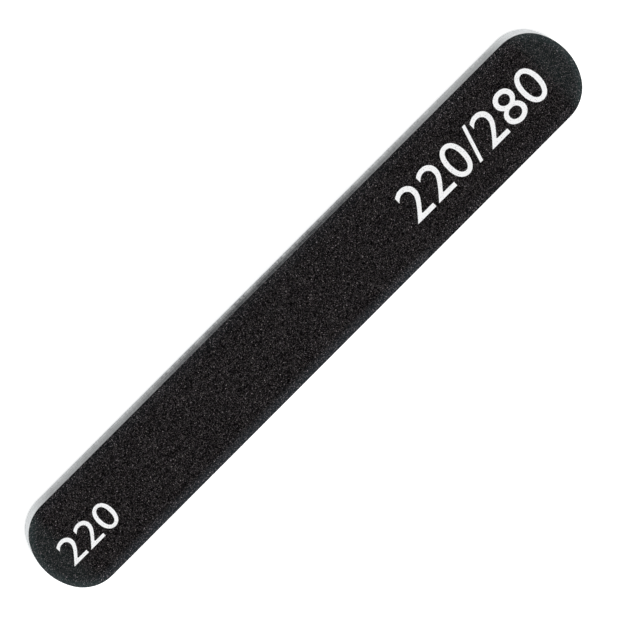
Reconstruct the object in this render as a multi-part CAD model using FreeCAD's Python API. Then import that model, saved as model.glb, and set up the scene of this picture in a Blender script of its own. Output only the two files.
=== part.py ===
import FreeCAD, Part
import math
import os

# Emery board: a cushioned nail file, die-cut in one blow from a laminated sheet, in millimetres.
# It lies on its underside, centred on the origin, with +X along the board and +Z up.

# Outline of the die
board_length = 178.0
board_width = 25.4
tip_flattening = 2.9  # how far the tip's radius exceeds half the width
corner_tightening = 2.9  # how far each corner's radius falls short of half the width

# Layers, from the middle of the board outwards
core_thickness = 0.8
core_adhesive_thickness = 0.1
foam_thickness = 2.175
paper_adhesive_thickness = 0.1
paper_thickness = 0.25
grit_thickness = 0.15

# Rim that the die rolls over, and the foam's drawn-in flank
rim_roll_width = 3.0
rim_drop = 0.45  # at the foam's face; the sheets above follow it
foam_waist_depth = 0.25

up = FreeCAD.Vector(0, 0, 1)
origin = FreeCAD.Vector(0, 0, 0)
quarter_turn = 90
half_turn = 180

# Each end is three arcs that meet tangentially: a corner, the flatter tip and a corner
half_width = board_width / 2
tip_radius = half_width + tip_flattening
corner_radius = half_width - corner_tightening
tip_centre_x = board_length / 2 - tip_radius
corner_run = math.sqrt((tip_radius - corner_radius) ** 2 - corner_tightening**2)
corner_centre_x = tip_centre_x + corner_run
join_angle = math.degrees(math.atan2(corner_tightening, corner_run))

tip_centre = FreeCAD.Vector(tip_centre_x, 0, 0)
lower_corner_centre = FreeCAD.Vector(corner_centre_x, -corner_tightening, 0)
upper_corner_centre = FreeCAD.Vector(corner_centre_x, corner_tightening, 0)
long_side = FreeCAD.Vector(-2 * corner_centre_x, 0, 0)

# Centre, radius, start angle and sweep of each arc of one end
end_arcs = [
    (lower_corner_centre, corner_radius, -quarter_turn, quarter_turn - join_angle),
    (tip_centre, tip_radius, -join_angle, 2 * join_angle),
    (upper_corner_centre, corner_radius, join_angle, quarter_turn - join_angle),
]

# Heights of the faces between the layers of the upper half, above the middle of the board
core_face = core_thickness / 2
foam_base = core_face + core_adhesive_thickness
foam_face = foam_base + foam_thickness
paper_base = foam_face + paper_adhesive_thickness
grit_base = paper_base + paper_thickness
grit_face = grit_base + grit_thickness

# The rolled rims of all layers share one centre, so that the sheets keep their thickness round it
rim_roll_radius = (rim_roll_width**2 + rim_drop**2) / (2 * rim_drop)
rim_roll_centre_z = foam_face - rim_roll_radius


# A section is drawn in the XZ plane with the outline at x = 0 and the board's inside at x < 0
def at_outline(section, centre, radius, angle):
    placed = section.copy()
    placed.translate(FreeCAD.Vector(radius, 0, 0))
    placed.rotate(origin, up, angle)
    placed.translate(centre)
    return placed


# Sweeps a section once round the outline: a vertex gives edges, and a face gives solids
def round_the_outline(section):
    swept = []
    for centre, radius, start, sweep in end_arcs:
        swept.append(at_outline(section, centre, radius, start).revolve(centre, up, sweep))
    side = at_outline(section, upper_corner_centre, corner_radius, quarter_turn)
    swept.append(side.extrude(long_side))
    for piece in list(swept):
        other = piece.copy()
        other.rotate(origin, up, half_turn)
        swept.append(other)
    return swept


# Flat plate between two heights, with its edge set in from the outline
def plate(inset, low, high):
    edges = round_the_outline(Part.Vertex(-inset, 0, low))
    wire = Part.Wire(Part.__sortEdges__(edges))
    return Part.Face(wire).extrude(up * (high - low))


def rim_height(face):
    radius = rim_roll_radius + face - foam_face
    return rim_roll_centre_z + math.sqrt(radius**2 - rim_roll_width**2)


# Edge of a face that is rolled over at the rim, from the outline inwards
def rolled_edge(face):
    radius = rim_roll_radius + face - foam_face
    middle_angle = math.atan2(rim_height(face) - rim_roll_centre_z, rim_roll_width)
    middle_angle = (middle_angle + math.pi / 2) / 2
    start = FreeCAD.Vector(0, 0, rim_height(face))
    middle = FreeCAD.Vector(
        radius * math.cos(middle_angle) - rim_roll_width,
        0,
        radius * math.sin(middle_angle) + rim_roll_centre_z,
    )
    end = FreeCAD.Vector(-rim_roll_width, 0, face)
    return Part.Arc(start, middle, end).toShape()


def straight_edge(start, end):
    return Part.LineSegment(start, end).toShape()


# Flat middle and swept rim made one solid
def with_rim(middle, rim_edges):
    section = Part.Face(Part.Wire(Part.__sortEdges__(rim_edges)))
    return middle.multiFuse(round_the_outline(section)).removeSplitter()


# Sheet of even thickness that follows the rolled rim and is cut square at the outline
def rolled_sheet(low, high):
    rim_edges = [
        rolled_edge(low),
        rolled_edge(high),
        straight_edge(FreeCAD.Vector(0, 0, rim_height(low)), FreeCAD.Vector(0, 0, rim_height(high))),
        straight_edge(FreeCAD.Vector(-rim_roll_width, 0, low), FreeCAD.Vector(-rim_roll_width, 0, high)),
    ]
    return with_rim(plate(rim_roll_width, low, high), rim_edges)


# Cushion with a flat base, a rolled rim and a flank drawn in between the core and the paper
def foam_cushion():
    flank_base = FreeCAD.Vector(0, 0, foam_base)
    flank_top = FreeCAD.Vector(0, 0, rim_height(foam_face))
    waist = FreeCAD.Vector(-foam_waist_depth, 0, (flank_base.z + flank_top.z) / 2)
    inner_base = FreeCAD.Vector(-rim_roll_width, 0, foam_base)
    inner_top = FreeCAD.Vector(-rim_roll_width, 0, foam_face)
    rim_edges = [
        rolled_edge(foam_face),
        Part.Arc(flank_base, waist, flank_top).toShape(),
        straight_edge(inner_base, flank_base),
        straight_edge(inner_base, inner_top),
    ]
    return with_rim(plate(rim_roll_width, foam_base, foam_face), rim_edges)


# The upper half's layers, and their mirror images below the core
half_layers = {
    "core_adhesive": plate(0, core_face, foam_base),
    "foam_cushion": foam_cushion(),
    "paper_adhesive": rolled_sheet(foam_face, paper_base),
    "backing_paper": rolled_sheet(paper_base, grit_base),
    "grit_coat": rolled_sheet(grit_base, grit_face),
}
board = {"core_strip": plate(0, -core_face, core_face)}
for layer, shape in half_layers.items():
    board["top_" + layer] = shape
    board["bottom_" + layer] = shape.mirror(origin, up)

# The underside comes to rest at z = 0
os.makedirs("parts", exist_ok=True)
for node, shape in board.items():
    shape.translate(up * grit_face)
    shape.exportStep("parts/" + node + ".step")
    print(f"{node}: {len(shape.Solids)} solid, {shape.Volume:.1f} mm3, valid {shape.isValid()}")
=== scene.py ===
import bmesh
import bpy
import math
from mathutils import Matrix, Vector


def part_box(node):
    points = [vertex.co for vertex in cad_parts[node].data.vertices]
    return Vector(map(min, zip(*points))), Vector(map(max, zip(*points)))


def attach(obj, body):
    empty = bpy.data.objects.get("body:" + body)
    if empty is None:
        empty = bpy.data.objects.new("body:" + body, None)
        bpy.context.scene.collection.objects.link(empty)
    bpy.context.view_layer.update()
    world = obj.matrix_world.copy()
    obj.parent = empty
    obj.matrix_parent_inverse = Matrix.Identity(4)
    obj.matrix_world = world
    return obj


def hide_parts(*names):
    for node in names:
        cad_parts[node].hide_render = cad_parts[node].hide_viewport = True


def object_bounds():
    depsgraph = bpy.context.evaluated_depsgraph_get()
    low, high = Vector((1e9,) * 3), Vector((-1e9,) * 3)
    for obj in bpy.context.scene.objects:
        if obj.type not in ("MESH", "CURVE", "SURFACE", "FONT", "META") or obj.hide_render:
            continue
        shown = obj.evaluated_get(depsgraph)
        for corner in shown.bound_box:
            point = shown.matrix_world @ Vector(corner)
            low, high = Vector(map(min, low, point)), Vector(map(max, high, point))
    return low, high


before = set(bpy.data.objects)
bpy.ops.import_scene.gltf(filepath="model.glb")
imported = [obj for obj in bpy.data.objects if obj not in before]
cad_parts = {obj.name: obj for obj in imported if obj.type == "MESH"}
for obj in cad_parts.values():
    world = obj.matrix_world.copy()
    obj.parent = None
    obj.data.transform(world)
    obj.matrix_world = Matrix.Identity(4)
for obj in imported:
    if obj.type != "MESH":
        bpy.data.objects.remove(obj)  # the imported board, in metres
cadLow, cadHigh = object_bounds()
print("frame loaded:", sorted(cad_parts))


# Board: the die's outline and the rolled rim, shared by every layer
# Its front long side is at -Y and its back one at +Y

board = {
    "tipFlattening": 0.0029,  # tip radius beyond half the width
    "cornerTightening": 0.0029,  # corner radius short of half the width
    "rollWidth": 0.0030,  # how far in from the outline the rim rolls over
    "rimDrop": 0.00045,  # how far the foam's rim rolls down
    "sideTurn": 0.004,  # how far from the middle line the front's wear gives way to the back's
}

nodeLows = {node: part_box(node)[0].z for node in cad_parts}
nodeTops = {node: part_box(node)[1].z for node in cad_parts}
halfLength = cadHigh.x
halfWidth = cadHigh.y
middleHeight = (cadLow.z + cadHigh.z) / 2
foamFace = nodeTops["top_foam_cushion"]
tipRadius = halfWidth + board["tipFlattening"]
cornerRadius = halfWidth - board["cornerTightening"]
tipX = halfLength - tipRadius
cornerRun = math.sqrt((tipRadius - cornerRadius) ** 2 - board["cornerTightening"] ** 2)
cornerX = tipX + cornerRun
joinAngle = math.atan2(board["cornerTightening"], cornerRun)
cornerSweep = math.pi / 2 - joinAngle
foamRollRadius = (board["rollWidth"] ** 2 + board["rimDrop"] ** 2) / (2 * board["rimDrop"])
down = (0, 0, -1)  # spin turns the other way round, so its axis points down
closeShare = 0.1  # points nearer than this share of the mesh's pitch are one
outlineShare = 0.25  # and a point as near as this to the outline is on it
levelLimit = 0.1  # rise of the normal that tells a wall from a face


def stepsAlong(length, pitch):
    return max(1, round(length / pitch))


def rimHeight(face):
    # height of a layer's face at the outline, under its flat middle
    radius = foamRollRadius + face - foamFace
    return face - radius + math.sqrt(radius**2 - board["rollWidth"] ** 2)


def insetOf(place):
    # distance of a point of the board from the outline
    along, across = abs(place.x), abs(place.y)
    if along <= cornerX:
        return halfWidth - across
    if math.atan2(across, along - tipX) < joinAngle:
        return tipRadius - math.hypot(along - tipX, across)
    return cornerRadius - math.hypot(along - cornerX, across - board["cornerTightening"])


def atOutline(place, pitch):
    return insetOf(place) < outlineShare * pitch


def startPiece(name, place):
    # one vertex in edit mode, to be spun and extruded
    bpy.ops.object.select_all(action="DESELECT")
    bpy.ops.mesh.primitive_plane_add(size=board["rollWidth"], location=place)
    piece = bpy.context.object
    piece.name = name
    piece.data.name = name
    bpy.ops.object.transform_apply(location=True)
    bpy.ops.object.mode_set(mode="EDIT")
    bpy.ops.mesh.select_mode(type="VERT")
    bpy.ops.mesh.select_all(action="SELECT")
    bpy.ops.mesh.merge(type="CENTER")
    return piece


def pick(piece, mode, test):
    # selects the edges or faces that pass the test
    bpy.ops.mesh.select_mode(type={"edges": "EDGE", "faces": "FACE"}[mode])
    bpy.ops.mesh.select_all(action="DESELECT")
    mesh = bmesh.from_edit_mesh(piece.data)
    for part in getattr(mesh, mode):
        if test(part):
            part.select_set(True)
    mesh.select_flush_mode()
    bmesh.update_edit_mesh(piece.data)


def dieOutline(name, height, pitch):
    # closed ring of even edges round the board, filled with one face
    piece = startPiece(name, (cornerX, -halfWidth, height))
    inset = board["cornerTightening"]
    for end in (1, -1):
        arcs = (
            ((end * cornerX, -end * inset, height), cornerRadius, cornerSweep),
            ((end * tipX, 0, height), tipRadius, 2 * joinAngle),
            ((end * cornerX, end * inset, height), cornerRadius, cornerSweep),
        )
        for centre, radius, sweep in arcs:
            steps = stepsAlong(radius * sweep, pitch)
            bpy.ops.mesh.spin(steps=steps, angle=sweep, center=centre, axis=down)
        side = (-end * 2 * cornerX, 0, 0)
        bpy.ops.mesh.extrude_region_move(TRANSFORM_OT_translate={"value": side})
    bpy.ops.mesh.select_all(action="SELECT")
    bpy.ops.mesh.remove_doubles(threshold=closeShare * pitch)
    cuts = stepsAlong(math.sqrt(2 * cornerX / pitch), 1) - 1
    for _ in range(2):  # a side is cut twice, because one cut takes at most a hundred edges
        pick(piece, "edges", lambda edge: edge.calc_length() > 2 * pitch)
        bpy.ops.mesh.subdivide(number_cuts=cuts)
    bpy.ops.mesh.select_all(action="SELECT")
    bpy.ops.mesh.edge_face_add()
    bpy.ops.mesh.select_mode(type="FACE")
    return piece


def rollRim(face, rings):
    # rolls the selected face over at its rim, ring by ring, to its flat middle
    radius = foamRollRadius + face - foamFace
    width = board["rollWidth"]
    before = math.sqrt(radius**2 - width**2)
    for ring in range(1, rings + 1):
        left = width * (1 - ring / rings)
        now = math.sqrt(radius**2 - left**2)
        bpy.ops.mesh.inset(thickness=width / rings, depth=now - before, use_even_offset=True)
        before = now


def rolledSheet(name, low, high, pitch, rings):
    # thin sheet between two faces of the upper half, cut square at the outline
    # its top face stays selected
    piece = dieOutline(name, rimHeight(low), pitch)
    rollRim(low, rings)
    bpy.ops.mesh.select_all(action="SELECT")
    bpy.ops.mesh.flip_normals()
    pick(piece, "edges", lambda edge: edge.is_boundary)
    rise = (0, 0, rimHeight(high) - rimHeight(low))
    bpy.ops.mesh.extrude_region_move(TRANSFORM_OT_translate={"value": rise})
    bpy.ops.mesh.edge_face_add()
    bpy.ops.mesh.select_mode(type="FACE")
    rollRim(high, rings)
    return piece


def raisedPlate(name, low, high, pitch, rows):
    # plate with its wall in rows; its top face stays selected
    piece = dieOutline(name, low, pitch)
    rise = (0, 0, (high - low) / rows)
    for _ in range(rows):
        bpy.ops.mesh.extrude_region_move(TRANSFORM_OT_translate={"value": rise})
    return piece


def faceOutwards():
    bpy.ops.mesh.select_all(action="SELECT")
    bpy.ops.mesh.normals_make_consistent(inside=False)


def turnUnder(piece):
    # turns a piece of the upper half about the board's long axis, to its place in the lower half
    bpy.ops.object.mode_set(mode="EDIT")
    bpy.ops.mesh.select_all(action="SELECT")
    bpy.ops.transform.rotate(value=math.pi, orient_axis="X", center_override=(0, 0, middleHeight))
    bpy.ops.object.mode_set(mode="OBJECT")


def groupOf(piece, name, share):
    # vertex group whose weight is a share worked out for each point
    group = piece.vertex_groups.new(name=name)
    for vert in piece.data.vertices:
        weight = share(vert)
        if weight > 0:
            group.add([vert.index], weight, "REPLACE")


def roughen(piece, name, size, depth, group):
    # pushes the group's points inwards by a cloudy texture, by at most the depth
    texture = bpy.data.textures.new(name, "CLOUDS")
    texture.noise_scale = size
    push = piece.modifiers.new(name, "DISPLACE")
    push.texture = texture
    push.texture_coords = "LOCAL"
    push.strength = depth
    push.mid_level = 1.0
    push.vertex_group = group


def applyAll(piece):
    bpy.context.view_layer.objects.active = piece
    for modifier in list(piece.modifiers):
        bpy.ops.object.modifier_apply(modifier=modifier.name)


def settle(piece, node, material):
    # hands a finished piece to the frame
    piece.data.materials.clear()
    piece.data.materials.append(material)
    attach(piece, "root")
    if node:
        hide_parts(node)


# Shader helpers

number, vector, colour = "NodeSocketFloat", "NodeSocketVector", "NodeSocketColor"
noiseSpan = (0.3, 0.7)  # where the values of a noise mostly lie


def addNode(tree, kind, inputs=None, **settings):
    node = tree.nodes.new(kind)
    for key, value in settings.items():
        setattr(node, key, value)
    for socket, value in (inputs or {}).items():
        if isinstance(value, bpy.types.NodeSocket):
            tree.links.new(value, node.inputs[socket])
        else:
            node.inputs[socket].default_value = value
    return node


def link(tree, source, target):
    tree.links.new(source, target)


def math2(tree, operation, *values):
    inputs = dict(enumerate(values))
    return addNode(tree, "ShaderNodeMath", inputs, operation=operation).outputs[0]


def vector2(tree, operation, *values):
    inputs = dict(enumerate(values))
    return addNode(tree, "ShaderNodeVectorMath", inputs, operation=operation).outputs[0]


def ramp(tree, value, low, high, start, end):
    # straight run from start, at the low value, to end, at the high one
    inputs = {0: value, 1: low, 2: high, 3: start, 4: end}
    return addNode(tree, "ShaderNodeMapRange", inputs).outputs[0]


def ease(tree, value, low, high, start, end):
    # the same, with a smooth beginning and end
    inputs = {0: value, 1: low, 2: high, 3: start, 4: end}
    return addNode(tree, "ShaderNodeMapRange", inputs, interpolation_type="SMOOTHSTEP").outputs[0]


def noiseOver(tree, place, scale, detail):
    inputs = {"Vector": place, "Scale": scale, "Detail": detail}
    return addNode(tree, "ShaderNodeTexNoise", inputs).outputs["Fac"]


def stretchedNoise(tree, place, perMetre, detail):
    # noise with its own scale along each axis
    return noiseOver(tree, vector2(tree, "MULTIPLY", place, perMetre), 1.0, detail)


def mixColours(tree, factor, first, second, blend="MIX"):
    inputs = {0: factor, 6: first, 7: second}
    return addNode(tree, "ShaderNodeMix", inputs, data_type="RGBA", blend_type=blend).outputs[2]


def newMaterial(name):
    material = bpy.data.materials.new(name)
    material.use_nodes = True
    tree = material.node_tree
    return material, tree, tree.nodes["Principled BSDF"]


def addBump(tree, shader, height, depth, strength):
    bump = addNode(tree, "ShaderNodeBump", {"Height": height, "Distance": depth, "Strength": strength})
    link(tree, bump.outputs["Normal"], shader.inputs["Normal"])


def newGroup(name, takes, gives):
    group = bpy.data.node_groups.new(name, "ShaderNodeTree")
    for socket, kind in takes.items():
        group.interface.new_socket(socket, in_out="INPUT", socket_type=kind)
    for socket, kind in gives.items():
        group.interface.new_socket(socket, in_out="OUTPUT", socket_type=kind)
    return group, group.nodes.new("NodeGroupInput").outputs, group.nodes.new("NodeGroupOutput").inputs


# Cut flank: what every layer's edge shares

flank = {
    # black dust from the grit together with painted shade, darkest under the upper face
    "smear": (0.040, 0.042, 0.045, 1),
    "start": 0.0034,  # depths under the upper face at which the smear and its painted shade begin to fade, and are gone
    "reach": 0.0072,
    "backSmear": 0.92,  # how much of it shows at the middle of the back side, of the front one; the back side, away from the front lamp, is darkened more as painted shade
    "frontSmear": 0.62,
    "endSmear": 0.50,  # and towards the ends, which are left lighter; the middle's extra darkness is painted shade
    "middleTo": 0.010,  # where along the board the middle's amount begins to change
    "endFrom": 0.070,  # and the ends' is reached
    "cleanFrom": 0.074,  # and where the smear and its painted shade fall off again, round the tips, leaving them lighter
    "cleanBy": 0.082,
    "tipShare": 0.1,  # what is left of it there
    "streaks": (2600.0, 2600.0, 240.0),  # noises per metre, drawn out down the flank
    "patches": (180.0, 180.0, 60.0),
    "patchShare": 0.6,  # weight of the patches beside the streaks
    "ragged": 0.0024,  # how far the two move the smear's lower edge
    "blotch": 0.5,  # and how much they change its amount
}


def makeSmearAndShadeGroup():
    # black dust dragged down the cut flank from the upper face, in uneven streaks, with painted shade
    # added: darkest under the upper face, more on the back side and towards the middle of the length
    group, take, give = newGroup(
        "dieSmear",
        {
            "Vector": vector,
            "Clean": colour,
            "Smear": colour,
            "Top": number,
            "Start": number,
            "Reach": number,
            "Back": number,
            "Front": number,
            "End": number,
        },
        {"Color": colour},
    )
    streaks = stretchedNoise(group, take["Vector"], flank["streaks"], detail=3.0)
    patches = stretchedNoise(group, take["Vector"], flank["patches"], detail=2.0)
    uneven = math2(group, "MULTIPLY_ADD", patches, flank["patchShare"], streaks)
    usual = (1 + flank["patchShare"]) / 2  # what the two add up to on average
    place = addNode(group, "ShaderNodeSeparateXYZ", {0: take["Vector"]}).outputs
    depth = math2(group, "SUBTRACT", take["Top"], place["Z"])
    ragged = math2(group, "MULTIPLY_ADD", uneven, flank["ragged"], -flank["ragged"] * usual)
    # painted shade with the dust: darker just under the upper face, fading down the flank
    amount = ease(group, math2(group, "ADD", depth, ragged), take["Start"], take["Reach"], 1.0, 0.0)
    along = math2(group, "ABSOLUTE", place["X"])
    # painted shade: more on the back side than the front, and more mid-length than towards the ends
    side = ease(group, place["Y"], -board["sideTurn"], board["sideTurn"], take["Front"], take["Back"])
    strength = ease(group, along, flank["middleTo"], flank["endFrom"], side, take["End"])
    tips = ease(group, along, flank["cleanFrom"], flank["cleanBy"], 1.0, flank["tipShare"])
    strength = math2(group, "MULTIPLY", strength, tips)
    blotches = math2(group, "MULTIPLY_ADD", uneven, -flank["blotch"], 1 + flank["blotch"] * usual)
    strength = math2(group, "MULTIPLY", strength, blotches)
    amount = math2(group, "MULTIPLY", amount, strength)
    link(group, mixColours(group, amount, take["Clean"], take["Smear"]), give["Color"])
    return group


smearAndShadeGroup = makeSmearAndShadeGroup()


# colour of a cut flank, with its dragged dust and painted shade
def smearedAndShadedColour(tree, place, clean):
    inputs = {
        "Vector": place,
        "Clean": clean,
        "Smear": flank["smear"],
        "Top": cadHigh.z,
        "Start": flank["start"],
        "Reach": flank["reach"],
        "Back": flank["backSmear"],
        "Front": flank["frontSmear"],
        "End": flank["endSmear"],
    }
    return addNode(tree, "ShaderNodeGroup", inputs, node_tree=smearAndShadeGroup).outputs["Color"]


# Grit coats

gritCoat = {
    "pitch": 0.000255,  # spacing of the mesh that carries the grains
    "rimRings": 9,
    "clumpSize": 0.0006,
    "clumpDepth": 0.00005,
    "grainSize": 0.0003,
    "grainDepth": 0.00006,
}

gritFinish = {
    "cellSize": 0.00016,  # grains in the shader
    "tilt": 0.5,
    "tintShare": 0.15,  # how much of its own tint a grain shows
    "proudPitch": 0.0009,  # spacing of the grains that stand proud, each with a painted glint on top
    "proudTop": (0.05, 0.16),  # how far their painted glints reach, and where they are gone, in pitches
    "middling": 0.110,  # brightness of the middling grain
    "spread": 0.14,  # how far other grains lie from it, and the painted glints on the proud tops
    "proud": 0.5,
    "darkest": 0.01,
    "eye": 2.2,  # power from brightness, as the eye sees it, to colour
    "pitSpan": (0.1, 0.8),  # from the crown of a grain to the pit beside it, in cells
    # painted highlight on the crown and painted shade in the pit
    "pitShade": (1.2, 0.5),
    "warmth": (1.1, 0.97, 1.0, 1),
    "tipDust": (0.0160, 0.0245, 0.0245, 1),  # pale nail dust held by the tips, with a painted highlight on their rolled edge, most at their very edge
    "tipReach": 0.0095,
    "tipFade": 0.004,
    "tipEdge": 0.0022,
    "tipInside": 0.38,  # what of it lies further in
    "driftScale": 400.0,  # noise per metre that makes the dust's limit wander, and how far
    "drift": 0.004,
    "rimDust": (0.0165, 0.0215, 0.0255, 1),  # and by the rolled rim, with a painted highlight, most where the front side, which faces the front lamp, is used
    "rimFull": 0.0003,
    "rimReach": 0.0034,
    "rimShare": 0.2,  # how much of it shows all round
    "usedShare": 0.55,  # and how much more where the board is used
    "usedTo": 0.031,  # how far along that is
    "usedFade": 0.005,
    "tipLoss": 0.7,  # how much less of it there is at the tips
    "cutEdge": (0.56, 0.565, 0.57, 1),  # resin bond where the die went through
    "cutDepth": (0.00005, 0.0001),  # how far down the cut the grains give way to it
    "roughSpan": (0.0, 0.8),
    "rough": (0.4, 0.6),
    "specular": 0.005,
}


def makeGrainGroup(look):
    # angular grains: a shade that spreads evenly about 0, a tint, a facet tilted its own way and the gaps
    # between, and the painted glints on the tops of the few that stand proud
    group, take, give = newGroup(
        "grains",
        {"Vector": vector, "Normal": vector, "Size": number, "Pitch": number, "Tilt": number},
        {"Shade": number, "Tint": colour, "Facet": vector, "Gap": number, "Proud": number},
    )
    inputs = {"Vector": take["Vector"], "Scale": math2(group, "DIVIDE", 1.0, take["Size"])}
    cells = addNode(group, "ShaderNodeTexVoronoi", inputs).outputs
    lean = vector2(group, "SUBTRACT", cells["Color"], (0.5, 0.5, 0.5))
    shade = vector2(group, "DOT_PRODUCT", lean, (2.0, 2.0, 2.0)).node.outputs["Value"]
    tilt = addNode(group, "ShaderNodeVectorMath", {0: lean, "Scale": take["Tilt"]}, operation="SCALE")
    facet = vector2(group, "NORMALIZE", vector2(group, "ADD", take["Normal"], tilt.outputs[0]))
    tint = mixColours(group, look["tintShare"], (1, 1, 1, 1), cells["Color"])
    # painted glint: bright spots on the tops of the few grains that stand proud
    inputs = {"Vector": take["Vector"], "Scale": math2(group, "DIVIDE", 1.0, take["Pitch"])}
    tops = addNode(group, "ShaderNodeTexVoronoi", inputs, voronoi_dimensions="2D").outputs
    shine = addNode(group, "ShaderNodeSeparateColor", {0: tops["Color"]}).outputs["Red"]
    shine = math2(group, "MULTIPLY", shine, shine)
    proud = math2(group, "MULTIPLY", ease(group, tops["Distance"], *look["proudTop"], 1.0, 0.0), shine)
    link(group, shade, give["Shade"])
    link(group, tint, give["Tint"])
    link(group, facet, give["Facet"])
    link(group, cells["Distance"], give["Gap"])
    link(group, proud, give["Proud"])
    return group


grainGroup = makeGrainGroup(gritFinish)
print("shared shader groups made")


def grainColour(tree, grains, look):
    level = math2(tree, "MULTIPLY_ADD", grains["Shade"], look["spread"], look["middling"])
    level = math2(tree, "MULTIPLY_ADD", grains["Proud"], look["proud"], level)
    level = math2(tree, "POWER", math2(tree, "MAXIMUM", level, look["darkest"]), look["eye"])
    # painted shade in the pits between grains, and a painted highlight on their crowns
    paintedPits = ramp(tree, grains["Gap"], *look["pitSpan"], *look["pitShade"])
    level = math2(tree, "MULTIPLY", level, paintedPits)
    shade = mixColours(tree, 1.0, level, look["warmth"], "MULTIPLY")
    return mixColours(tree, 1.0, shade, grains["Tint"], "MULTIPLY")


def dustedAndHighlightedColour(tree, place, inset, shade, look):
    # the grains with pale dust and a painted highlight over the tips and the rim
    axes = addNode(tree, "ShaderNodeSeparateXYZ", {0: place}).outputs
    drift = noiseOver(tree, place, look["driftScale"], detail=2.0)
    along = math2(tree, "MULTIPLY_ADD", drift, look["drift"], math2(tree, "ABSOLUTE", axes["X"]))
    tipStart = halfLength - look["tipReach"] + look["drift"] / 2
    tips = ease(tree, along, tipStart, tipStart + look["tipFade"], 0.0, 1.0)
    usedEnd = (look["usedTo"] - look["usedFade"], look["usedTo"] + look["usedFade"])
    used = ease(tree, axes["X"], *usedEnd, look["usedShare"], 0.0)
    # painted highlight: the rim is lighter on the front side, which faces the front lamp
    frontHighlight = ease(tree, axes["Y"], -board["sideTurn"], board["sideTurn"], 1.0, 0.0)
    heldAndLit = math2(tree, "MULTIPLY_ADD", frontHighlight, used, look["rimShare"])
    heldAndLit = math2(tree, "MULTIPLY", heldAndLit, math2(tree, "MULTIPLY_ADD", tips, -look["tipLoss"], 1.0))
    rim = ease(tree, inset, look["rimFull"], look["rimReach"], 1.0, 0.0)
    rim = math2(tree, "MULTIPLY", rim, heldAndLit)
    edge = ease(tree, inset, look["rimFull"], look["tipEdge"], 1.0, look["tipInside"])
    tips = math2(tree, "MULTIPLY", tips, edge)
    # pale dust and a painted highlight over the tips, then over the rim
    shade = mixColours(tree, tips, shade, mixColours(tree, 1.0, shade, look["tipDust"], "ADD"))
    return mixColours(tree, rim, shade, mixColours(tree, 1.0, shade, look["rimDust"], "ADD"))


def gritMaterial(name, look):
    material, tree, shader = newMaterial(name)
    place = addNode(tree, "ShaderNodeTexCoord").outputs["Object"]
    inset = addNode(tree, "ShaderNodeAttribute", attribute_name="inset").outputs["Fac"]
    inputs = {
        "Vector": place,
        "Normal": addNode(tree, "ShaderNodeNewGeometry").outputs["Normal"],
        "Size": look["cellSize"],
        "Pitch": look["proudPitch"],
        "Tilt": look["tilt"],
    }
    grains = addNode(tree, "ShaderNodeGroup", inputs, node_tree=grainGroup).outputs
    shade = dustedAndHighlightedColour(tree, place, inset, grainColour(tree, grains, look), look)
    bondFrom, bondFull = look["cutDepth"]
    bond = ease(tree, inset, -bondFull, -bondFrom, 1.0, 0.0)
    shade = mixColours(tree, bond, shade, smearedAndShadedColour(tree, place, look["cutEdge"]))
    link(tree, shade, shader.inputs["Base Color"])
    rough = ramp(tree, grains["Gap"], *look["roughSpan"], *look["rough"])
    link(tree, rough, shader.inputs["Roughness"])
    link(tree, grains["Facet"], shader.inputs["Normal"])
    shader.inputs["Specular IOR Level"].default_value = look["specular"]
    return material


def fillField(piece, field, pitch):
    # the flat middle becomes a grid whose corners lie half-way round the board's corners
    inner = cornerRadius - board["rollWidth"]
    turn = joinAngle + cornerSweep / 2
    aim = Vector(
        (cornerX + inner * math.cos(turn), board["cornerTightening"] + inner * math.sin(turn), field)
    )
    span = stepsAlong(tipRadius * 2 * joinAngle, pitch) + stepsAlong(cornerRadius * cornerSweep, pitch)
    bpy.ops.mesh.delete(type="ONLY_FACE")
    pick(piece, "edges", lambda edge: edge.is_boundary)
    mesh = bmesh.from_edit_mesh(piece.data)
    nearest = min((vert for vert in mesh.verts if vert.select), key=lambda vert: (vert.co - aim).length)
    mesh.select_history.clear()
    mesh.select_history.add(nearest)
    bmesh.update_edit_mesh(piece.data)
    bpy.ops.mesh.fill_grid(span=span)


def noteInset(piece, base, face, pitch):
    # each point's distance from the outline, which runs on below 0 down the cut wall
    wallMiddle = (rimHeight(base) + rimHeight(face)) / 2
    inset = piece.data.attributes.new("inset", "FLOAT", "POINT")
    for vert in piece.data.vertices:
        atFoot = atOutline(vert.co, pitch) and vert.co.z < wallMiddle
        inset.data[vert.index].value = base - face if atFoot else insetOf(vert.co)


def makeGritCoat(name, node, under):
    base, face = nodeTops["top_backing_paper"], nodeTops["top_grit_coat"]
    piece = rolledSheet(name, base, face, gritCoat["pitch"], gritCoat["rimRings"])
    fillField(piece, face, gritCoat["pitch"])
    faceOutwards()
    bpy.ops.object.mode_set(mode="OBJECT")
    groupOf(piece, "grains", lambda vert: 1.0 if vert.normal.z > levelLimit else 0.0)
    noteInset(piece, base, face, gritCoat["pitch"])
    if under:
        turnUnder(piece)
    roughen(piece, name + "Clumps", gritCoat["clumpSize"], gritCoat["clumpDepth"], "grains")
    roughen(piece, name + "Grains", gritCoat["grainSize"], gritCoat["grainDepth"], "grains")
    applyAll(piece)
    settle(piece, node, gritMaterial(name + "Finish", gritFinish))
    return piece


topGrit = makeGritCoat("topGrit", "top_grit_coat", False)
bottomGrit = makeGritCoat("bottomGrit", "bottom_grit_coat", True)
print("grit coats made:", len(topGrit.data.polygons), len(bottomGrit.data.polygons), "faces")


# Foam cushions

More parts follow.
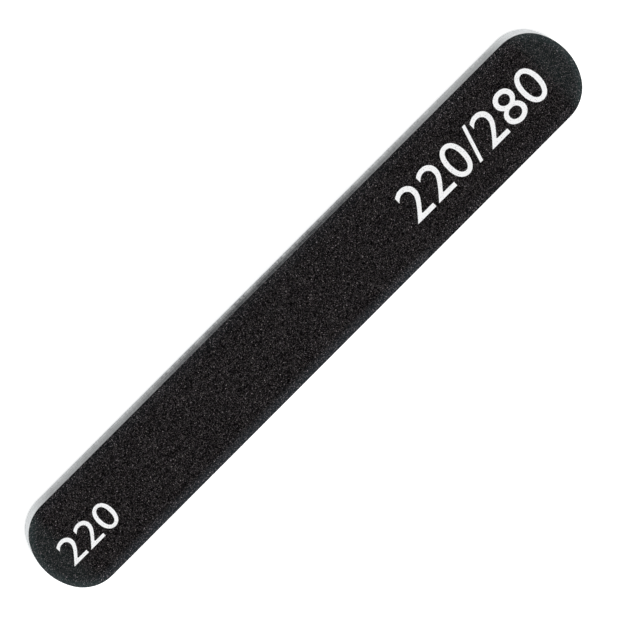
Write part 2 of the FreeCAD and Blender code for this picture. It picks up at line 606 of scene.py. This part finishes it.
foamCushion = {
    "pitch": 0.00015,
    "rows": 10,  # up the flank
    "rimRings": 3,
    "waistDepth": 0.00025,
    "waveSize": 0.004,
    "waveDepth": 0.00006,
    "poreSize": 0.00022,
    "poreDepth": 0.00007,
    "fill": 0.9,
    "clean": (0.86, 0.865, 0.87, 1),
    "shaded": (0.75, 0.755, 0.76, 1),
    "patches": 900.0,  # noise per metre, between clean and shaded
    "hollow": (0.1, 0.7),  # from the middle of a cell, darker with painted shade in its hollow, to its wall, in cells
    "hollowShade": 0.75,
    "bumpDepth": 0.00004,
    "bump": 0.6,
    "rough": (0.8, 1.0),
    "specular": 0.2,
}


def foamMaterial(name, look):
    material, tree, shader = newMaterial(name)
    place = addNode(tree, "ShaderNodeTexCoord").outputs["Object"]
    inputs = {"Vector": place, "Scale": 1 / look["poreSize"]}
    cells = addNode(tree, "ShaderNodeTexVoronoi", inputs).outputs["Distance"]
    patches = noiseOver(tree, place, look["patches"], detail=4.0)
    clean = mixColours(tree, patches, look["shaded"], look["clean"])
    # painted shade in the hollow of each pore
    paintedHollowShade = ease(tree, cells, *look["hollow"], look["hollowShade"], 1.0)
    clean = mixColours(tree, 1.0, clean, paintedHollowShade, "MULTIPLY")
    link(tree, smearedAndShadedColour(tree, place, clean), shader.inputs["Base Color"])
    link(tree, ramp(tree, patches, *noiseSpan, *look["rough"]), shader.inputs["Roughness"])
    addBump(tree, shader, cells, look["bumpDepth"], look["bump"])
    shader.inputs["Specular IOR Level"].default_value = look["specular"]
    return material


def makeFoam(name, node, under, material):
    low, high = nodeLows["top_foam_cushion"], rimHeight(foamFace)
    piece = raisedPlate(name, low, high, foamCushion["pitch"], foamCushion["rows"])
    rollRim(foamFace, foamCushion["rimRings"])
    faceOutwards()
    bpy.ops.object.mode_set(mode="OBJECT")

    def flankShare(vert):
        return 1.0 if abs(vert.normal.z) < levelLimit else 0.0

    def waistShare(vert):
        # 0 at the flank's foot and top, and 1 half-way up
        rise = (vert.co.z - low) / (high - low)
        return 4 * rise * (1 - rise) * flankShare(vert)

    groupOf(piece, "waist", waistShare)
    groupOf(piece, "flank", flankShare)
    if under:
        turnUnder(piece)
    waist = piece.modifiers.new("waist", "DISPLACE")
    waist.strength = -foamCushion["waistDepth"]
    waist.mid_level = 0.0
    waist.vertex_group = "waist"
    roughen(piece, name + "Waves", foamCushion["waveSize"], foamCushion["waveDepth"], "flank")
    roughen(piece, name + "Pores", foamCushion["poreSize"], foamCushion["poreDepth"], "flank")
    applyAll(piece)
    settle(piece, node, material)
    return piece


foamFinish = foamMaterial("foamFinish", foamCushion)
topFoam = makeFoam("topFoam", "top_foam_cushion", False, foamFinish)
bottomFoam = makeFoam("bottomFoam", "bottom_foam_cushion", True, foamFinish)
print("foam cushions made:", len(topFoam.data.polygons), len(bottomFoam.data.polygons), "faces")


# Backing papers, adhesive films and the core, which show as thin cut edges

edgeMesh = {
    "pitch": 0.0003,
    "rimRings": 5,  # of the rolled sheets
    "rows": 4,  # up the wall of the flat ones
    "fraySize": 0.0005,
    "bump": 0.5,
}
adhesiveLook = {
    "slot": "adhesive",
    "clean": (0.70, 0.70, 0.68, 1),
    "shaded": (0.60, 0.60, 0.59, 1),
    "rough": (0.35, 0.6),
    "specular": 0.5,
    "grain": (1500.0, 1500.0, 1500.0),  # noise per metre
    "fray": 0.00004,
}
edgeLayers = {
    "backing_paper": {
        "name": "BackingPaper",
        "slot": "backing_paper",
        "clean": (0.76, 0.77, 0.78, 1),
        "shaded": (0.64, 0.65, 0.66, 1),
        "rough": (0.75, 0.95),
        "specular": 0.2,
        "grain": (1200.0, 1200.0, 9000.0),  # fibres lie flat in the sheet
        "fray": 0.00003,
    },
    "paper_adhesive": {"name": "PaperAdhesive", **adhesiveLook},
    "core_adhesive": {"name": "CoreAdhesive", **adhesiveLook},
    "core_strip": {
        "name": "core",
        "slot": "core",
        "clean": (0.72, 0.73, 0.74, 1),
        "shaded": (0.62, 0.63, 0.64, 1),
        "rough": (0.3, 0.55),
        "specular": 0.5,
        "grain": (4000.0, 4000.0, 300.0),  # the shear leaves upright scores
        "fray": 0.00002,
    },
}


def edgeMaterial(name, look):
    material, tree, shader = newMaterial(name)
    place = addNode(tree, "ShaderNodeTexCoord").outputs["Object"]
    grain = stretchedNoise(tree, place, look["grain"], detail=4.0)
    clean = mixColours(tree, grain, look["shaded"], look["clean"])
    link(tree, smearedAndShadedColour(tree, place, clean), shader.inputs["Base Color"])
    link(tree, ramp(tree, grain, *noiseSpan, *look["rough"]), shader.inputs["Roughness"])
    addBump(tree, shader, grain, look["fray"], edgeMesh["bump"])
    shader.inputs["Specular IOR Level"].default_value = look["specular"]
    return material


def makeEdgeLayer(node, look, material):
    half, _, layer = node.partition("_")
    upper = node.replace("bottom_", "top_")
    high = nodeTops[upper]
    name = look["name"] if layer == "strip" else half + look["name"]
    pitch = edgeMesh["pitch"]
    if "paper" in layer:
        base = foamFace if layer == "paper_adhesive" else nodeTops["top_paper_adhesive"]
        piece = rolledSheet(name, base, high, pitch, edgeMesh["rimRings"])
    else:
        piece = raisedPlate(name, nodeLows[upper], high, pitch, edgeMesh["rows"])
    faceOutwards()
    bpy.ops.object.mode_set(mode="OBJECT")
    groupOf(piece, "cut", lambda vert: 1.0 if atOutline(vert.co, pitch) else 0.0)
    if half == "bottom":
        turnUnder(piece)
    roughen(piece, name + "Fray", edgeMesh["fraySize"], look["fray"], "cut")
    applyAll(piece)
    settle(piece, node, material)


for layer, look in edgeLayers.items():
    finish = edgeMaterial(look["name"] + "Finish", look)
    for node in sorted(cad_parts):
        if node.endswith(layer):
            makeEdgeLayer(node, look, finish)
print("cut edges made")


# Printed grit numbers on the upper face

marks = {
    "gritPair": {"text": "220/280", "place": (0.0570, 0.0003), "length": 0.046, "height": 0.0098},
    "gritSingle": {"text": "220", "place": (-0.0750, -0.0005), "length": 0.0165, "height": 0.0074},
}
ink = {
    "slab": 0.001,  # blank that the letters are cut from before they are laid on the grit
    "slabFace": 0.7,  # rise of the normal that tells its upper face from the rest
    "pitch": 0.00013,
    "film": 0.00002,
    "white": (0.90, 0.885, 0.885, 1),
    "bare": (0.35, 0.345, 0.345, 1),  # where the grit shows through
    "specks": 3500.0,  # noise per metre, and where in it bare gives way to white
    "cover": (0.28, 0.42),
    "rough": (0.5, 0.7),
    "bump": 0.4,
    "specular": 0.3,
}


def inkMaterial():
    material, tree, shader = newMaterial("inkFinish")
    place = addNode(tree, "ShaderNodeTexCoord").outputs["Object"]
    specks = noiseOver(tree, place, ink["specks"], detail=2.0)
    cover = ease(tree, specks, *ink["cover"], 0.0, 1.0)
    link(tree, mixColours(tree, cover, ink["bare"], ink["white"]), shader.inputs["Base Color"])
    link(tree, ramp(tree, specks, *noiseSpan, *ink["rough"]), shader.inputs["Roughness"])
    addBump(tree, shader, specks, ink["film"], ink["bump"])
    shader.inputs["Specular IOR Level"].default_value = ink["specular"]
    return material


def cornersOf(piece):
    places = [vert.co for vert in piece.data.vertices]
    low = Vector([min(place[axis] for place in places) for axis in range(3)])
    high = Vector([max(place[axis] for place in places) for axis in range(3)])
    return low, high


def makeMark(name, mark, material):
    bpy.ops.object.select_all(action="DESELECT")
    bpy.ops.object.text_add()
    words = bpy.context.object
    words.data.body = mark["text"]
    words.data.align_x = "CENTER"
    words.data.align_y = "CENTER"
    words.data.size = mark["height"]
    words.data.extrude = ink["slab"]
    bpy.ops.object.convert(target="MESH")
    piece = bpy.context.object
    piece.name = name
    piece.data.name = name
    low, high = cornersOf(piece)
    size = high - low
    stretch = Vector((mark["length"] / size.x, mark["height"] / size.y, 1))
    centre = (low + high) / 2 * stretch
    piece.scale = stretch
    piece.location = (mark["place"][0] - centre.x, mark["place"][1] - centre.y, cadHigh.z)
    bpy.ops.object.transform_apply(location=True, rotation=True, scale=True)
    remesh = piece.modifiers.new("evenGrid", "REMESH")
    remesh.mode = "VOXEL"
    remesh.voxel_size = ink["pitch"]
    applyAll(piece)
    bpy.ops.object.mode_set(mode="EDIT")
    pick(piece, "faces", lambda face: face.normal.z < ink["slabFace"])
    bpy.ops.mesh.delete(type="FACE")
    bpy.ops.object.mode_set(mode="OBJECT")
    lay = piece.modifiers.new("layOnGrit", "SHRINKWRAP")
    lay.target = topGrit
    lay.wrap_method = "PROJECT"
    lay.use_project_z = True
    lay.use_negative_direction = True
    lay.offset = ink["film"] / 2
    film = piece.modifiers.new("film", "SOLIDIFY")
    film.thickness = ink["film"]
    applyAll(piece)
    settle(piece, None, material)
    print("mark", mark["text"], len(piece.data.polygons), "faces")


inkFinish = inkMaterial()
for name, mark in marks.items():
    makeMark(name, mark, inkFinish)


# Camera, at the photograph's angle

viewpoint = {
    "lean": math.radians(18.46),  # towards the back long side, from straight above
    "turn": math.radians(45.05),  # the board's slant in the picture
    "distance": 1.2013,
    "across": 0.004644,  # the picture's middle, right of the board's
    "below": -0.003471,  # and under it
    "lens": 278.5,
    "sight": 20,
}
bpy.ops.object.select_all(action="DESELECT")
bpy.ops.object.camera_add()
camera = bpy.context.object
camera.data.lens = viewpoint["lens"]
camera.data.clip_end = viewpoint["sight"]
camera.matrix_world = (
    Matrix.Rotation(-viewpoint["lean"], 4, "X")
    @ Matrix.Rotation(-viewpoint["turn"], 4, "Z")
    @ Matrix.Translation((viewpoint["across"], viewpoint["below"], viewpoint["distance"]))
)
bpy.context.scene.camera = camera
print("camera placed")


# Floor, world and lamps

studio = {
    "floorSize": 6.0,
    "floorColour": (0.82, 0.82, 0.82, 1),
    "floorRough": 0.9,
    "whiteLift": 0.56,  # what the floor needs to be seen as white
    "ceiling": (0.35, 0.35, 0.35),  # the room's light from above, and from its walls
    "frontWall": (1.5, 1.5, 1.53),
    "backWall": (0.64, 0.64, 0.65),
    "endWalls": (0.84, 0.89, 0.89),
}


def floorMaterial():
    material, tree, shader = newMaterial("paleFloor")
    shader.inputs["Base Color"].default_value = studio["floorColour"]
    shader.inputs["Roughness"].default_value = studio["floorRough"]
    shader.inputs["Specular IOR Level"].default_value = 0.0
    rays = addNode(tree, "ShaderNodeLightPath").outputs
    seen = math2(tree, "MAXIMUM", rays["Is Camera Ray"], rays["Is Glossy Ray"])
    seen = math2(tree, "MAXIMUM", seen, rays["Is Transmission Ray"])
    shader.inputs["Emission Color"].default_value = (1, 1, 1, 1)
    link(tree, math2(tree, "MULTIPLY", seen, studio["whiteLift"]), shader.inputs["Emission Strength"])
    return material


bpy.ops.mesh.primitive_plane_add(size=studio["floorSize"], location=(0, 0, cadLow.z))
floor = bpy.context.object
floor.name = "floor"
floor.data.materials.append(floorMaterial())

world = bpy.data.worlds.new("studioWorld")
bpy.context.scene.world = world
world.use_nodes = True
worldTree = world.node_tree
direction = addNode(worldTree, "ShaderNodeTexCoord").outputs["Generated"]
axes = addNode(worldTree, "ShaderNodeSeparateXYZ", {0: direction}).outputs
fade = math2(worldTree, "ADD", axes["Z"], 1.0)  # walls are brightest at the foot
glow = studio["ceiling"]
for wall, side in (
    ("frontWall", math2(worldTree, "MINIMUM", axes["Y"], 0.0)),
    ("backWall", math2(worldTree, "MAXIMUM", axes["Y"], 0.0)),
    ("endWalls", axes["X"]),
):
    share = math2(worldTree, "DIVIDE", math2(worldTree, "MULTIPLY", side, side), fade)
    glow = vector2(worldTree, "MULTIPLY_ADD", share, studio[wall], glow)
link(worldTree, glow, worldTree.nodes["Background"].inputs["Color"])

lamps = {
    "frontSide": {"place": (0.0, -0.60, 0.43), "size": 0.4, "power": 1.8, "tint": (0.96, 0.98, 1.0)},
    "rightEnd": {"place": (0.53, 0.16, 0.21), "size": 0.3, "power": 0.84, "tint": (0.96, 1.0, 1.0)},
    "leftEnd": {"place": (-0.53, 0.16, 0.21), "size": 0.3, "power": 0.84, "tint": (0.96, 1.0, 1.0)},
}
for name, lamp in lamps.items():
    aim = Vector((0, 0, cadHigh.z)) - Vector(lamp["place"])
    turn = aim.to_track_quat("-Z", "Y").to_euler()
    bpy.ops.object.light_add(type="AREA", location=lamp["place"], rotation=turn)
    light = bpy.context.object
    light.name = name
    light.data.shape = "DISK"
    light.data.size = lamp["size"]
    light.data.energy = lamp["power"]
    light.data.color = lamp["tint"]

bpy.context.scene.view_settings.view_transform = "Standard"
print("studio lit")
